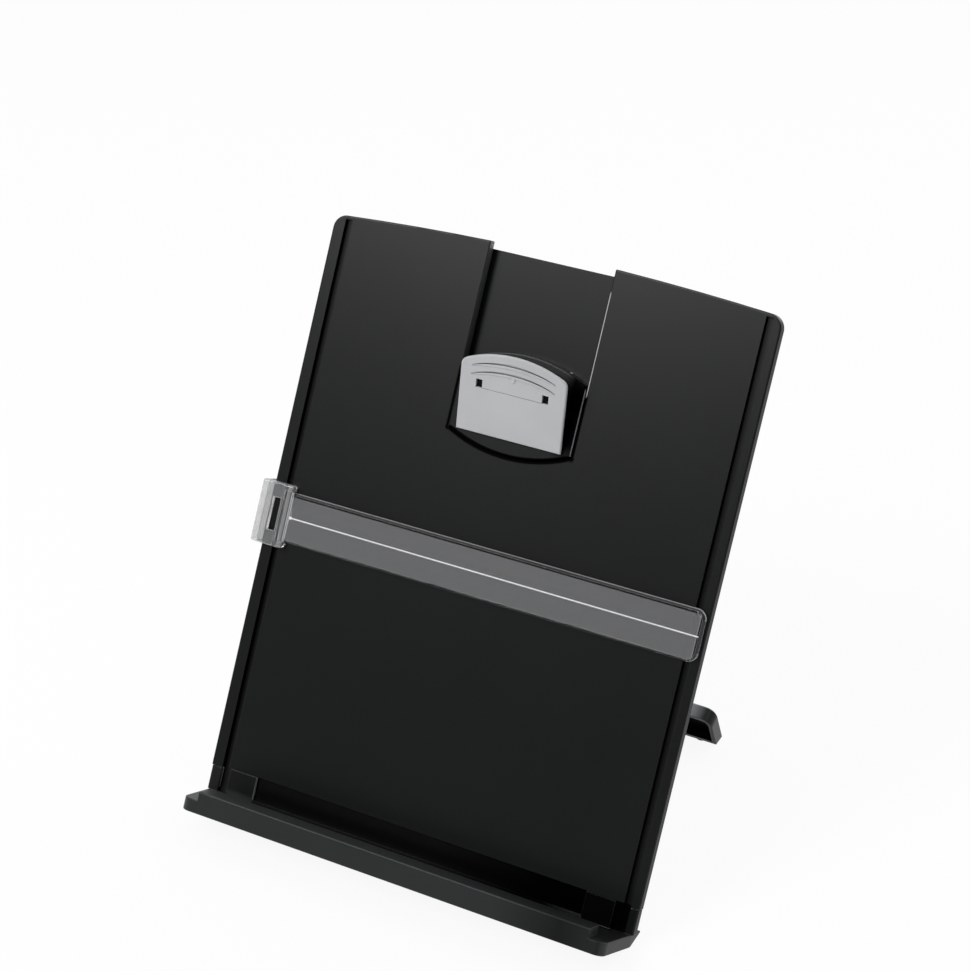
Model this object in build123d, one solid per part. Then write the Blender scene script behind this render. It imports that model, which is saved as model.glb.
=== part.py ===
from build123d import *
import os
from math import cos, radians, sin, tan

os.makedirs("parts", exist_ok=True)

# Desktop document holder: a reclined easel panel on a tray, with a sprung paper clip on a slide
# that pulls up out of the panel, a clear line guide on the left edge and a folding rear leg.
# Sizes are in millimetres and degrees. Every piece is drawn with the panel upright: width along X,
# depth along Y with the panel's front face at depth 0 and the reader at negative depth, and height
# along Z from the panel's base line. The last lines lean the whole holder back onto the table.

# Driving dimensions
recline = 30.0
leg_lean = 22.0
panel_width = 240.0
panel_height = 305.8
slide_width = 66.0
slide_travel = 165.0
guide_height = 147.5
hinge_height = 180.0

# Clearances shared by all the pieces
running_gap = 0.4
pin_gap = 0.06
overrun = 1.0
fine_round = 0.4

# Front panel: a skin with a skirt round it, a slot for the slide and a groove inside each edge strip
panel_crown = 4.7
panel_corner = 7.0
panel_skin = 2.2
panel_depth = 5.2
skirt_wall = 1.8
skirt_round = 0.7
left_strip_width = 6.4
right_strip_width = 4.4
groove_width = 3.8
groove_depth = 1.5
foot_recess_height = 15.0
foot_recess_depth = 1.0
rib_wall = 1.4
rib_rows = 4
rib_columns = 2
slot_low = 204.5
slot_bow = 7.6
slot_round = 0.6
panel_half = panel_width / 2
slot_half = slide_width / 2 + running_gap
slot_shoulder = slot_low + slot_bow
left_groove = -panel_half + left_strip_width
right_groove = panel_half - right_strip_width - groove_width

# Slide: a plate behind the skin with side walls and flanges that run in the panel's channel
plate_near = panel_skin + running_gap / 2
plate_wall = 1.8
plate_back = plate_near + plate_wall
slide_back = 6.2
slide_low = 75.0
slide_side_wall = 1.8
flange_reach = 1.8
flange_thickness = 1.2
end_rib = 2.0
slide_half = slide_width / 2
flange_half = slide_half + flange_reach
channel_half = flange_half + running_gap
channel_wall = 1.6
cover_near = slide_back + running_gap

# Clip base: the raised pad that fills the slot's lower end, with two ears for the clip pin
base_rise = 0.5
base_low_gap = 1.4
base_round = 0.5
base_length = 51.0
base_crown = 8.2
base_corner = 3.0
stake_radius = 1.5
stake_place_share = 0.82
stake_low_share = 0.224
stake_high_share = 0.906
pivot_rise = 19.0
pivot_reach = 4.1
ear_radius = 2.6
ear_wall = 2.5
ear_place = 18.5
clip_pin_radius = 1.0
clip_rise = 8.5
base_top = slot_low + base_length
base_shoulder = base_top - base_crown
base_side_length = base_shoulder - slot_shoulder
stake_low_height = slot_shoulder + stake_low_share * base_side_length
stake_high_height = slot_shoulder + stake_high_share * base_side_length
clip_low = slot_low + clip_rise
pivot_height = clip_low + pivot_rise

# Clip lever and its light cover
clip_width = 56.6
clip_lift = 2.5
clip_tilt = 18.5
face_wall = 1.5
face_side_length = 35.9
face_crown = 6.6
face_corner = 4.0
face_round = 0.7
hook_place = 17.8
hook_height = 25.5
hook_window_width = 3.5
hook_window_height = 4.3
hook_gap = 0.2
hook_sink = 1.2
dimple_radius = 1.3
dimple_height = 30.9
dimple_rise = 0.35
dimple_round = 0.3
face_seam_width = 0.3
face_seam_depth = 0.15
grip_ridge_drops = (4.6, 9.0)
grip_ridge_width = 1.6
grip_ridge_rise = 0.3
grip_ridge_half = 22.5
grip_line_width = 0.45
grip_line_depth = 0.35
lever_inset = 1.5
lever_wall = 2.0
lever_web = 1.0
lever_top_inset = 3.0
clip_swing = 30.0
jaw_width = 48.0
jaw_height = 4.5
jaw_inset = 1.0
jaw_gap = 0.3
spring_wire = 0.7
spring_turns = 2.5
spring_mean_radius = 1.75
spring_pad_leg = 8.0
spring_lever_leg = 1.2

# Rear cover, slide brake and cover screws
cover_margin = 10.2
cover_low = 44.0
cover_top_drop = 4.0
cover_wall = 2.0
cover_skirt = 1.8
cover_corner = 5.0
stop_rib_width = 36.0
stop_rib_wall = 1.5
stop_rib_rise = 1.2
brake_length = 44.0
brake_width = 8.0
brake_strip = 0.4
brake_gap = 0.3
boss_radius = 3.2
screw_head_radius = 2.4
screw_head_height = 1.4
screw_shank_radius = 1.25
screw_slot_depth = 0.6
screw_slot_width = 0.7
cover_screw_inset = 5.7
cover_screw_heights = (55.0, 162.0, 290.0)
cover_half = channel_half + channel_wall + cover_margin
cover_screw_place = cover_half - cover_screw_inset

# Tray: a slab with a lip block on its front, cheeks under the edge strips and ears on the panel
tray_front = 29.0
tray_side_inset = 1.3
tray_flare = 2.2
tray_flare_depth = 2.0
tray_rear = 13.4
tray_corner = 5.0
tray_bottom = 5.5
tray_top = 1.2
tray_wall = 2.0
tray_round = 0.5
lip_end_inset = 10.9
lip_top = 6.0
lip_depth = 12.5
lip_round = 0.8
trough_wall = 1.2
trough_wall_top = 3.0
tray_ear_inset = 12.0
tray_ear_width = 15.5
tray_ear_top = 15.0
cheek_top = 13.6
cheek_side_inset = 0.2
cheek_round = 1.4
seam_gap = 0.3
tray_bays = 7
back_wall = 2.2
back_wall_top = 11.0
back_wall_inset = 14.7
tray_screw_inset = 14.0
tray_screw_shares = (-1, -1 / 3, 1 / 3, 1)
tray_screw_height = 5.7
bevel_start = 3.0
strip_end_inset = 28.7
strip_breadth = 7.0
strip_sunk = 0.8
strip_proud = 0.6
tray_half = panel_half - tray_side_inset
tray_front_half = tray_half - tray_flare
lip_half = tray_half - lip_end_inset
tray_ear_outer = panel_half - tray_ear_inset
tray_ear_inner = tray_ear_outer - tray_ear_width
back_wall_half = tray_half - back_wall_inset
strip_length = 2 * (tray_half - strip_end_inset)
tray_screw_places = [share * (back_wall_half - tray_screw_inset) for share in tray_screw_shares]

# Leg: a hollow T hinged on the rear cover, with a wide foot on two rubber pads
leg_half = 29.8
leg_depth = 8.0
leg_wall = 2.0
leg_fold_gap = 0.4
leg_ear_wall = 4.0
leg_ear_radius = 4.4
leg_pin_radius = 1.5
leg_barrel_radius = 4.0
foot_half = 95.8
foot_taper = 0.7
foot_height = 24.6
foot_shoulder_drop = 2.2
foot_corner = 6.5
foot_crook = 25.0
foot_draft = 0.8
leg_rib_half = 11.0
leg_web_spacing = 32.0
leg_webs = 3
pad_end_inset = 10.0
pad_radius = 3.4
pad_setback = 3.5
pad_sunk = 0.8
sole_gap = 1.7
leg_stop_gap = 0.3
heel_half = 20.0
clip_ring_radius = 3.0
clip_ring_wall = 0.8

# Line guide: a clear carriage round the panel's left edge and a clear blade hinged on it
carriage_height = 32.4
carriage_reach = 4.3
carriage_side_wall = 3.0
carriage_front = 5.2
carriage_plate = 2.2
carriage_back_plate = 2.0
carriage_back_reach = 10.0
carriage_lip = 1.6
carriage_lip_height = 2.2
carriage_round = 0.5
carriage_corner = 1.2
carriage_cover = 9.4
knuckle_width = 4.1
carriage_runner = 1.8
window_place = 3.4
window_width = 4.7
window_height = 17.0
blade_height = 25.6
blade_wall = 2.0
blade_reach = 2.9
axis_inset = 1.9
blade_end_inset = 1.0
blade_corner = 5.0
blade_bevel = 1.3
barrel_radius = 1.85
trunnion_radius = 1.1
trunnion_length = 2.2
line_width = 0.6
line_depth = 0.2
line_start_inset = 3.4
line_end_inset = 1.5
line_dot_radius = 0.8
carriage_plate_inner = panel_half - carriage_cover
carriage_knuckle_inner = carriage_plate_inner - knuckle_width
blade_axis_place = carriage_knuckle_inner + axis_inset
blade_end = panel_half - blade_end_inset
guide_low = guide_height - carriage_height / 2
guide_high = guide_height + carriage_height / 2
blade_low = guide_height - blade_height / 2
blade_high = guide_height + blade_height / 2


def front_view(outline, near, far):
    """A solid from an outline drawn as width and height, between two depths."""
    return extrude(Plane.XZ.offset(-far) * outline, far - near, dir=(0, -1, 0))


def side_view(outline, left, right):
    """A solid from an outline drawn as depth and height, between two widths."""
    return extrude(Plane.YZ.offset(left) * outline, right - left, dir=(1, 0, 0))


def plan_view(outline, low, high):
    """A solid from an outline drawn as width and depth, between two heights."""
    return extrude(Plane.XY.offset(low) * outline, high - low, dir=(0, 0, 1))


def block(left, right, near, far, low, high):
    """A box between two widths, two depths and two heights."""
    centre = Pos((left + right) / 2, (near + far) / 2, (low + high) / 2)
    return centre * Box(right - left, far - near, high - low)


def cross_pin(radius, left, right, depth, height):
    """A round bar that runs along the width."""
    return Pos((left + right) / 2, depth, height) * Rot(0, 90, 0) * Cylinder(radius, right - left)


def depth_pin(radius, width_place, height, near, far):
    """A round bar that runs along the depth."""
    centre = Pos(width_place, (near + far) / 2, height)
    return centre * Rot(90, 0, 0) * Cylinder(radius, far - near)


def upright_pin(radius, width_place, depth, low, high):
    """A round bar that runs along the height."""
    return Pos(width_place, depth, (low + high) / 2) * Cylinder(radius, high - low)


def crown_fall(half, rise, place):
    """How far a crowned edge has fallen at a distance from its middle."""
    radius = (half ** 2 + rise ** 2) / (2 * rise)
    return radius - (radius ** 2 - place ** 2) ** 0.5


def arched_outline(half, low, shoulder, crown, corner=0, inset=0):
    """A rectangle with a crowned top edge and rounded top corners, drawn in by an inset."""
    radius = (half ** 2 + (crown - shoulder) ** 2) / (2 * (crown - shoulder))
    side, top = half - inset, crown - inset
    end = crown - radius + ((radius - inset) ** 2 - side ** 2) ** 0.5
    sides = Polyline((side, end), (side, low + inset), (-side, low + inset), (-side, end))
    face = make_face(sides + ThreePointArc((-side, end), (0, top), (side, end)))
    if corner:
        face = fillet(face.vertices().group_by(Axis.Y)[-1], corner - inset)
    return face


def bowed_outline(half, low, low_shoulder, shoulder, crown):
    """A shape with a downward bow at its bottom and a crowned top."""
    top = ThreePointArc((-half, shoulder), (0, crown), (half, shoulder))
    bottom = ThreePointArc((-half, low_shoulder), (0, low), (half, low_shoulder))
    left = Line((-half, low_shoulder), (-half, shoulder))
    right = Line((half, low_shoulder), (half, shoulder))
    return make_face(top + right + bottom + left)


def panel_top_at(place):
    """Height of the panel's crowned top edge at a distance from the middle."""
    return panel_height - crown_fall(panel_half, panel_crown, place)


def cross_screw(width_place, height, near, far):
    """A pan-head screw driven from behind, its tip at the near depth, its head beyond the far one."""
    head_end = far + screw_head_height
    body = depth_pin(screw_shank_radius, width_place, height, near, far)
    body += depth_pin(screw_head_radius, width_place, height, far, head_end)
    for wide, tall in ((screw_head_radius, screw_slot_width), (screw_slot_width, screw_head_radius)):
        left, right = width_place - wide / 2, width_place + wide / 2
        low, high = height - tall / 2, height + tall / 2
        body -= block(left, right, head_end - screw_slot_depth, head_end + overrun, low, high)
    return body


cheek_inners = ((-1, panel_half - left_strip_width), (1, panel_half - right_strip_width))
cover_screw_points = [(side * cover_screw_place, h) for side in (-1, 1) for h in cover_screw_heights]
cover_back = cover_near + cover_wall
hinge_depth = cover_back + leg_fold_gap + leg_depth / 2
leg_ear_near = leg_half + running_gap + pin_gap


def make_front_panel():
    shoulder = panel_height - panel_crown
    outer = arched_outline(panel_half, tray_top, shoulder, panel_height, panel_corner)
    body = front_view(outer, 0, panel_depth)
    front_edges = body.edges().group_by(Axis.Y)[0]
    body = fillet(front_edges.filter_by(lambda e: e.center().Z > tray_top + overrun), skirt_round)
    inner = arched_outline(panel_half, tray_top, shoulder, panel_height, panel_corner, skirt_wall)
    body -= front_view(inner, panel_skin, panel_depth + overrun)

    # Stiffening ribs behind the skin, clear of the carriage's lip at the edges
    rib_half = panel_half - left_strip_width
    rib_top = shoulder - panel_corner
    for row in range(rib_rows):
        height = rib_top * (row + 1) / (rib_rows + 1)
        body += block(-rib_half, rib_half, panel_skin, panel_depth, height, height + rib_wall)
    for column in range(rib_columns):
        place = cover_half + (rib_half - cover_half) * (column + 1) / (rib_columns + 1)
        for side in (-1, 1):
            left = side * place - rib_wall / 2
            body += block(left, left + rib_wall, panel_skin, panel_depth, tray_top + skirt_wall, rib_top)

    # The slide's channel: clear the ribs, then its side walls, front bearings and lower stop
    cleared = cover_half + running_gap
    cover_end = panel_height - cover_top_drop
    body -= block(-cleared, cleared, panel_skin, cover_near, cover_low - running_gap, cover_end)
    channel_low = slide_low - end_rib - running_gap
    channel_end = panel_top_at(channel_half + channel_wall) - skirt_wall
    bearing_near = slide_back - flange_thickness - running_gap
    for side in (-1, 1):
        wall_ends = sorted((side * channel_half, side * (channel_half + channel_wall)))
        body += block(*wall_ends, panel_skin, cover_near, channel_low, channel_end)
        bearing_ends = sorted((side * slot_half, side * channel_half))
        body += block(*bearing_ends, panel_skin, bearing_near, channel_low, channel_end)
    channel_outer = channel_half + channel_wall
    body += block(-channel_outer, channel_outer, panel_skin, cover_near, channel_low, channel_low + end_rib)
    for place, height in cover_screw_points:
        body += depth_pin(boss_radius, place, height, panel_skin, cover_near)
        body -= depth_pin(screw_shank_radius + pin_gap, place, height, panel_skin - fine_round, cover_near)
    for place in tray_screw_places:
        body += depth_pin(boss_radius, place, tray_screw_height, panel_skin, panel_depth)
        body -= depth_pin(screw_shank_radius + pin_gap, place, tray_screw_height,
                          panel_skin - fine_round, panel_depth + overrun)

    # The slot, open at the panel's top edge, and the way out for the slide behind it
    slot_open = panel_height + overrun
    slot = bowed_outline(slot_half, slot_low, slot_shoulder, slot_open, slot_open + overrun)
    body -= front_view(slot, -overrun, panel_skin)
    body -= block(-channel_half, channel_half, bearing_near, panel_depth + overrun, channel_end, slot_open)
    body -= block(-slot_half, slot_half, panel_skin, bearing_near, channel_end, slot_open)
    rim = body.edges().group_by(Axis.Y)[0].filter_by(lambda e: abs(abs(e.center().X) - slot_half) < pin_gap)
    body = fillet(rim, slot_round)

    # Edge grooves, the shallow step behind the tray's ears and the notches for the tray's cheeks
    groove_top = panel_top_at(left_groove) - skirt_wall
    for left in (left_groove, right_groove):
        body -= block(left, left + groove_width, -overrun, groove_depth, tray_top, groove_top)
    for side, inner in cheek_inners:
        notch = sorted((side * (inner - seam_gap), side * (panel_half + overrun)))
        body -= block(*notch, -overrun, panel_depth + overrun, tray_top - overrun, cheek_top + seam_gap)
    recess_left, recess_right = left_groove + groove_width / 2, right_groove + groove_width / 2
    body -= block(recess_left, recess_right, -overrun, foot_recess_depth,
                  tray_top - overrun, foot_recess_height)
    return body


def make_rear_cover():
    half = cover_half
    top = panel_height - cover_top_drop
    outline = Pos(0, (cover_low + top) / 2) * RectangleRounded(2 * half, top - cover_low, cover_corner)
    body = front_view(outline, cover_near, cover_back)
    body = fillet(body.edges().group_by(Axis.Y)[-1], fine_round)
    skirt_near = panel_skin + running_gap
    skirt_top = top - cover_corner - skirt_wall
    for side in (-1, 1):
        ends = sorted((side * (half - cover_skirt), side * half))
        body += block(*ends, skirt_near, cover_near, cover_low + cover_corner, skirt_top)
    body += block(-half + cover_corner, half - cover_corner, skirt_near, cover_near,
                  cover_low, cover_low + cover_skirt)

    # Stop rib inside the slide's hollow: the slide's end rib meets it at full travel
    stop_low = slide_low + end_rib + slide_travel + running_gap
    stop_half = stop_rib_width / 2
    body += block(-stop_half, stop_half, cover_near - stop_rib_rise, cover_near,
                  stop_low, stop_low + stop_rib_wall)
    for place, height in cover_screw_points:
        body -= depth_pin(screw_shank_radius + pin_gap, place, height, cover_near - overrun,
                          cover_back + overrun)

    # Ears for the leg's hinge pin
    for side in (-1, 1):
        left, right = sorted((side * leg_ear_near, side * (leg_ear_near + leg_ear_wall)))
        reach = hinge_depth - cover_back + fine_round
        foot = Pos(hinge_depth - reach / 2, hinge_height) * Rectangle(reach, 2 * leg_ear_radius)
        ear = foot + Pos(hinge_depth, hinge_height) * Circle(leg_ear_radius)
        body += side_view(ear, left, right)
        body -= cross_pin(leg_pin_radius + pin_gap, left - overrun, right + overrun,
                          hinge_depth, hinge_height)
    return body


def make_slide_brake():
    # A bowed steel strip across the channel that rubs the back of the slide
    half = brake_length / 2
    low = slide_low + end_rib + slide_travel + running_gap + stop_rib_wall + running_gap
    crest = plate_back + brake_gap
    back = cover_near - brake_strip
    near = ThreePointArc((-half, back), (0, crest), (half, back))
    far = ThreePointArc((-half, cover_near), (0, crest + brake_strip), (half, cover_near))
    ends = Line((half, back), (half, cover_near)) + Line((-half, back), (-half, cover_near))
    return plan_view(make_face(near + far + ends), low, low + brake_width)


def make_cover_screws():
    tip = panel_skin
    return [cross_screw(place, height, tip, cover_back) for place, height in cover_screw_points]


def make_tray():
    # The slab in plan, its ends flared towards the panel
    plan = Polygon(
        (tray_front_half, -tray_front), (tray_half, tray_flare_depth), (tray_half, tray_rear),
        (-tray_half, tray_rear), (-tray_half, tray_flare_depth), (-tray_front_half, -tray_front),
        align=None,
    )
    plan = fillet(plan.vertices().group_by(Axis.Y)[0], tray_corner)
    body = plan_view(plan, -tray_bottom, tray_top)
    rims = body.edges().filter_by(lambda e: e.center().Y < tray_rear - overrun)
    body = fillet(rims - rims.filter_by(Axis.Z), tray_round)
    lip_back = -tray_front + lip_depth
    lip = block(-lip_half, lip_half, -tray_front, lip_back, tray_top - 2 * tray_round, lip_top)
    lip = fillet(lip.edges().group_by(Axis.Z)[-1], lip_round)
    body += lip

    # The underside behind the panel's face is cut back parallel to the table
    rise = (tray_rear - bevel_start) * tan(radians(recline))
    bevel = Polygon(
        (bevel_start, -tray_bottom), (tray_rear, rise - tray_bottom),
        (tray_rear + overrun, rise - tray_bottom), (tray_rear + overrun, -tray_bottom - overrun),
        (bevel_start, -tray_bottom - overrun), align=None,
    )
    body -= side_view(bevel, -tray_half - overrun, tray_half + overrun)
    body -= table_frame * Pos(0, 0, strip_sunk / 2) * Box(
        strip_length + running_gap, strip_breadth + running_gap, strip_sunk)

    # Hollows from below, with a web left between each two bays
    pitch = 2 * (lip_half - tray_wall) / tray_bays
    for bay in range(tray_bays):
        left = -lip_half + tray_wall + bay * pitch
        right = left + pitch - rib_wall
        body -= block(left, right, -tray_front + tray_wall, lip_back - tray_wall,
                      -tray_bottom - overrun, lip_top - tray_wall)
        body -= block(left, right, lip_back - tray_wall, 0, -tray_bottom - overrun, tray_top - tray_wall)

    # The trough's low back wall, the ears and the cheeks under the edge strips
    wall_back = foot_recess_depth - seam_gap
    body += block(-tray_ear_inner, tray_ear_inner, -trough_wall, wall_back, tray_top, trough_wall_top)
    for side in (-1, 1):
        ends = sorted((side * tray_ear_inner, side * tray_ear_outer))
        ear = block(*ends, -trough_wall, wall_back, tray_top, tray_ear_top)
        ear = fillet(ear.edges().filter_by(Axis.Y).group_by(Axis.Z)[-1], fine_round)
        front_edges = ear.edges().group_by(Axis.Y)[0]
        ear = fillet(front_edges.filter_by(lambda e: e.center().Z > tray_top + overrun), fine_round)
        body += ear
    for side, inner in cheek_inners:
        ends = sorted((side * inner, side * (panel_half - cheek_side_inset)))
        cheek = block(*ends, 0, panel_depth, tray_top, cheek_top)
        outer_edges = cheek.edges().filter_by(lambda e: abs(e.center().X) > panel_half - overrun)
        cheek = fillet(outer_edges.group_by(Axis.Y)[0], cheek_round)
        cheek = fillet(cheek.edges().group_by(Axis.Z)[-1], fine_round)
        body += cheek

    # The wall behind the panel that the tray's screws go through
    body += block(-back_wall_half, back_wall_half, panel_depth, panel_depth + back_wall,
                  tray_top, back_wall_top)
    for place in tray_screw_places:
        body -= depth_pin(screw_shank_radius + pin_gap, place, tray_screw_height,
                          panel_depth - overrun, panel_depth + back_wall + overrun)
    return body


bevel_middle = (bevel_start + tray_rear) / 2
bevel_middle_height = (bevel_middle - bevel_start) * tan(radians(recline)) - tray_bottom
table_frame = Pos(0, bevel_middle, bevel_middle_height) * Rot(recline, 0, 0)


def make_tray_foot_strip():
    strip = Box(strip_length, strip_breadth, strip_sunk + strip_proud)
    strip = fillet(strip.edges().filter_by(Axis.Z), strip_sunk)
    return table_frame * Pos(0, 0, (strip_sunk - strip_proud) / 2) * strip


def make_tray_screws():
    tip = panel_skin
    far = panel_depth + back_wall
    return [cross_screw(place, tray_screw_height, tip, far) for place in tray_screw_places]


def make_leg_hinge_pin():
    half = leg_ear_near + leg_ear_wall + 2 * clip_ring_wall
    pin = cross_pin(leg_pin_radius, -half, half, hinge_depth, hinge_height)
    return chamfer(pin.edges(), fine_round)


def make_pin_clip(side):
    near = leg_ear_near + leg_ear_wall + pin_gap
    left, right = sorted((side * near, side * (near + clip_ring_wall)))
    ring = cross_pin(clip_ring_radius, left, right, hinge_depth, hinge_height)
    ring -= cross_pin(leg_pin_radius + pin_gap, left - overrun, right + overrun, hinge_depth, hinge_height)
    mouth = leg_pin_radius
    far = hinge_depth + clip_ring_radius + overrun
    ring -= block(left - overrun, right + overrun, hinge_depth, far,
                  hinge_height - mouth / 2, hinge_height + mouth / 2)
    return ring


def make_slide_plate():
    outer = arched_outline(slide_half, slide_low, base_shoulder, base_top, base_corner)
    body = front_view(outer, plate_near, slide_back)
    inner_half = slide_half - slide_side_wall
    inner = arched_outline(inner_half, slide_low + end_rib, base_shoulder - slide_side_wall,
                           base_top - slide_side_wall, base_corner)
    body -= front_view(inner, plate_back, slide_back + overrun)
    flange_near = slide_back - flange_thickness
    flange_top = base_shoulder - base_corner - slide_side_wall
    for side in (-1, 1):
        ends = sorted((side * slide_half, side * flange_half))
        body += block(*ends, flange_near, slide_back, slide_low, flange_top)
    # The hollow is open at the top so that the slide passes the stop rib and the brake
    free_half = slide_half - slide_side_wall - base_corner
    body -= block(-free_half, free_half, plate_back, slide_back + overrun,
                  base_shoulder - slide_side_wall - base_corner, base_top + overrun)
    for place, height in stake_points:
        body -= depth_pin(stake_radius + pin_gap, place, height, plate_near - overrun, plate_back + overrun)
    return body


stake_place = slide_half * stake_place_share
stake_points = [(side * stake_place, h) for side in (-1, 1) for h in (stake_low_height, stake_high_height)]
ear_centres = (-ear_place - ear_wall / 2, ear_place + ear_wall / 2)


def make_clip_base():
    outline = bowed_outline(slide_half, slot_low + base_low_gap, slot_shoulder + base_low_gap,
                            base_shoulder, base_top)
    outline = fillet(outline.vertices().group_by(Axis.Y)[-1], base_corner)
    body = front_view(outline, -base_rise, plate_near)
    body = fillet(body.edges().group_by(Axis.Y)[0], base_round)
    for place, height in stake_points:
        body += depth_pin(stake_radius, place, height, plate_near - fine_round, plate_back)
    for place in ear_centres:
        reach = pivot_reach + fine_round - base_rise
        foot = Pos(-pivot_reach + reach / 2, pivot_height) * Rectangle(reach, 2 * ear_radius)
        ear = foot + Pos(-pivot_reach, pivot_height) * Circle(ear_radius)
        body += side_view(ear, place - ear_wall / 2, place + ear_wall / 2)
        body -= cross_pin(clip_pin_radius + pin_gap, place - ear_wall, place + ear_wall,
                          -pivot_reach, pivot_height)
    return body


clip_half = clip_width / 2
lever_half = clip_half - lever_inset


def make_clip_pin():
    pin = cross_pin(clip_pin_radius, -lever_half, lever_half, -pivot_reach, pivot_height)
    return chamfer(pin.edges(), fine_round / 2)


def make_clip_spring(side):
    # A torsion coil on the pin beside one ear: it starts in front of the pin with a short leg
    # behind the cover and ends behind the pin with a long leg up the pad
    pitch = spring_wire + pin_gap
    start = ear_place + ear_wall + spring_wire
    coil = Rot(-90, 0, 0) * Rot(0, 90, 0) * Helix(pitch, pitch * spring_turns, spring_mean_radius)
    first, last = coil @ 0, coil @ 1
    lever_leg = Line(first - (coil % 0) * spring_lever_leg, first)
    pad_leg = Line(last, last + (coil % 1) * spring_pad_leg)
    wire = Wire([lever_leg, coil, pad_leg])
    section = Plane(origin=wire @ 0, z_dir=wire % 0) * Circle(spring_wire / 2)
    body = Pos(start, -pivot_reach, pivot_height) * sweep(section, path=wire)
    return body if side > 0 else mirror(body, about=Plane.YZ)


# The clip's cover is drawn flat, its lower edge at height 0 and its front face at depth 0
clip_frame = Pos(0, -clip_lift, clip_low) * Rot(clip_tilt, 0, 0)


def ridge_outline(drop, wide):
    """A slim crescent that follows the cover's crowned top edge at a distance below it."""
    crown = face_side_length + face_crown - drop
    end = crown - crown_fall(clip_half, face_crown, grip_ridge_half)
    upper = ThreePointArc((-grip_ridge_half, end), (0, crown), (grip_ridge_half, end))
    lower = ThreePointArc((-grip_ridge_half, end), (0, crown - wide), (grip_ridge_half, end))
    return make_face(upper + lower)


def make_clip_face():
    outline = arched_outline(clip_half, 0, face_side_length, face_side_length + face_crown, face_corner)
    body = front_view(outline, 0, face_wall)
    body = fillet(body.edges().group_by(Axis.Y)[0], face_round)
    for drop in grip_ridge_drops:
        body += front_view(ridge_outline(drop, grip_ridge_width), -grip_ridge_rise, face_wall / 2)
        sunk = ridge_outline(drop - grip_line_width, 2 * grip_line_width)
        body -= front_view(sunk, -overrun, grip_line_depth)
    dimple = depth_pin(dimple_radius, 0, dimple_height, -dimple_rise, face_wall / 2)
    body += fillet(dimple.edges().group_by(Axis.Y)[0], dimple_round)
    for side in (-1, 1):
        centre = Pos(side * hook_place, hook_height)
        window = centre * Rectangle(hook_window_width, hook_window_height)
        body -= front_view(window, -overrun, face_wall + overrun)
    seam_half = hook_place - hook_window_width / 2
    seam_low = hook_height - hook_window_height / 2
    body -= block(-seam_half, seam_half, -overrun, face_seam_depth, seam_low, seam_low + face_seam_width)
    return clip_frame * body


def make_clip_lever():
    # Side walls behind the cover: their lower edges lie along the pad, their upper edges leave
    # room for the lever to swing in
    tilt, swing = radians(clip_tilt), radians(clip_swing)
    top = face_side_length - lever_top_inset
    jaw = clip_low + jaw_inset

    def cover_back_at(height):
        return clip_lift + (height - clip_low) * tan(tilt) - face_wall / cos(tilt)

    near_pad = base_rise + running_gap
    pad_end = pivot_height + fine_round
    wall_top = clip_low + top * cos(tilt)
    swing_rise = (wall_top - pad_end) * tan(swing)
    side = Polygon(
        (-near_pad, jaw), (-near_pad, pad_end), (-near_pad - swing_rise, wall_top),
        (-cover_back_at(wall_top), wall_top), (-cover_back_at(jaw), jaw), align=None,
    )
    body = side_view(side, -lever_half, lever_half)
    inner = lever_half - lever_wall
    body -= block(-inner, inner, -clip_width, 0, clip_low, wall_top + overrun)
    outer_pin = clip_pin_radius + pin_gap
    body -= cross_pin(outer_pin, -lever_half - overrun, lever_half + overrun, -pivot_reach, pivot_height)

    # Webs behind the cover above and below the pivot, and the two hooks that hold the cover
    clear = ear_radius + running_gap
    pivot_up = (pivot_height - clip_low) * cos(tilt) + (pivot_reach - clip_lift) * sin(tilt)
    bands = ((jaw_height + jaw_inset + running_gap, pivot_up - clear), (pivot_up + clear, top))
    for low, high in bands:
        web = block(-inner, inner, face_wall, face_wall + lever_web, low, high)
        body += clip_frame * web
    for sign in (-1, 1):
        half = hook_window_width / 2 - hook_gap
        tall = hook_window_height / 2 - hook_gap
        hook = block(sign * hook_place - half, sign * hook_place + half, hook_sink, face_wall + lever_web,
                     hook_height - tall, hook_height + tall)
        body += clip_frame * hook
    return body


def make_clip_jaw_pad():
    # A rubber strip under the cover's lower edge, drawn down towards the clip base
    tilt = radians(clip_tilt)
    low, high = clip_low + jaw_inset, clip_low + jaw_inset + jaw_height * cos(tilt)

    def cover_back_at(height):
        return clip_lift + (height - clip_low) * tan(tilt) - face_wall / cos(tilt)

    near_pad = base_rise + jaw_gap
    section = Polygon((-near_pad, low), (-near_pad, high), (-cover_back_at(high), high),
                      (-cover_back_at(low), low), align=None)
    return side_view(section, -jaw_width / 2, jaw_width / 2)


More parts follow.
